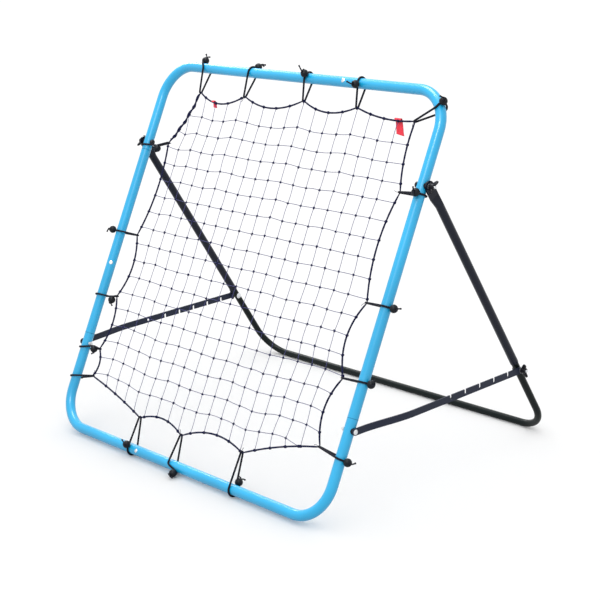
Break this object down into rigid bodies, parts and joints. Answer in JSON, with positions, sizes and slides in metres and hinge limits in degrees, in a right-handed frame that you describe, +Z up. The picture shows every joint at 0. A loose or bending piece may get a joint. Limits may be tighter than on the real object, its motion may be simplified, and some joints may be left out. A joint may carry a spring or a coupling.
{
  "type": "pitch back rebounder",
  "caption": "Leaning square tube frame with a bungee-hung practice net, a hinged U-shaped rear stand and two slotted brace bars.",
  "frame": {"origin": "middle of the floor under the whole object", "axes": "+X to the right seen from the front, +Y from the net towards the rear stand, +Z up"},
  "size_m": [1.0822, 0.7796, 0.9046],
  "materials": {
    "blue_frame_paint": "gloss powder coat",
    "black_stand_paint": "semi-gloss powder coat",
    "black_bar_paint": "satin powder coat",
    "zinc_steel": "bright zinc plate",
    "black_steel": "black oxide",
    "black_plastic": "moulded, matte",
    "ball_plastic": "moulded, satin",
    "elastic_cord": "braided elastic",
    "net_twine": "knotted polyester twine",
    "border_cord": "laid cord",
    "red_ribbon": "woven ribbon"
  },
  "bodies": {
    "front_frame": {"top_frame_section": "blue_frame_paint", "bottom_frame_section": "blue_frame_paint", "left_side_tube": "blue_frame_paint", "right_side_tube": "blue_frame_paint", "frame_hole_plugs": "zinc_steel", "hinge_bolts": "black_steel", "hinge_spacers": "black_plastic", "hinge_washers": "zinc_steel", "brace_pivot_bolts": "zinc_steel", "brace_pivot_spacers": "black_plastic", "brace_pivot_nuts": "zinc_steel", "top_bungee_loops": "elastic_cord", "right_bungee_loops": "elastic_cord", "bottom_bungee_loops": "elastic_cord", "left_bungee_loops": "elastic_cord", "top_bungee_balls": "ball_plastic", "right_bungee_balls": "ball_plastic", "bottom_bungee_balls": "ball_plastic", "left_bungee_balls": "ball_plastic"},
    "stand": {"left_stand_leg": "black_stand_paint", "right_stand_leg": "black_stand_paint", "stand_base_tube": "black_stand_paint", "clamp_bolt_heads": "zinc_steel"},
    "left_brace": {"left_brace_bar": "black_bar_paint", "left_clamp_stud": "zinc_steel"},
    "right_brace": {"right_brace_bar": "black_bar_paint", "right_clamp_stud": "zinc_steel"},
    "left_hinge_nut": {"left_hinge_wing_nut": "black_plastic"},
    "right_hinge_nut": {"right_hinge_wing_nut": "black_plastic"},
    "left_clamp_nut": {"left_clamp_wing_nut": "black_plastic"},
    "right_clamp_nut": {"right_clamp_wing_nut": "black_plastic"},
    "net": {"net_panel": "net_twine", "net_border_cord": "border_cord", "large_ribbon_tag": "red_ribbon", "small_ribbon_tag": "red_ribbon"}
  },
  "joints": [
    {"name": "stand_fold", "type": "hinge", "parent": "front_frame", "child": "stand", "pos_m": [0, -0.00059, 0.69109], "axis": [-1, 0, 0], "range_deg": [0, 48]},
    {"name": "left_brace_fold", "type": "hinge", "parent": "front_frame", "child": "left_brace", "pos_m": [-0.4875, -0.25926, 0.20458], "axis": [1, 0, 0], "range_deg": [0, 48]},
    {"name": "right_brace_fold", "type": "hinge", "parent": "front_frame", "child": "right_brace", "pos_m": [0.4875, -0.25926, 0.20458], "axis": [1, 0, 0], "range_deg": [0, 48]},
    {"name": "left_hinge_nut_turn", "type": "hinge", "parent": "front_frame", "child": "left_hinge_nut", "pos_m": [-0.5111, -0.00059, 0.69109], "axis": [-1, 0, 0], "continuous": true},
    {"name": "right_hinge_nut_turn", "type": "hinge", "parent": "front_frame", "child": "right_hinge_nut", "pos_m": [0.5111, -0.00059, 0.69109], "axis": [1, 0, 0], "continuous": true},
    {"name": "left_clamp_nut_turn", "type": "hinge", "parent": "left_brace", "child": "left_clamp_nut", "pos_m": [-0.5261, 0.27672, 0.19538], "axis": [-1, 0, 0], "continuous": true},
    {"name": "right_clamp_nut_turn", "type": "hinge", "parent": "right_brace", "child": "right_clamp_nut", "pos_m": [0.5261, 0.27672, 0.19538], "axis": [1, 0, 0], "continuous": true},
    {"name": "net_give", "type": "slide", "parent": "front_frame", "child": "net", "axis": [0, 0.8829, -0.4695], "range_m": [0, 0.06], "stiffness_N_per_m": 500, "springref_m": -0.02}
  ],
  "couplings": [
    {"joint": "left_brace_fold", "follows": "stand_fold", "ratio": 1},
    {"joint": "right_brace_fold", "follows": "stand_fold", "ratio": 1}
  ]
}
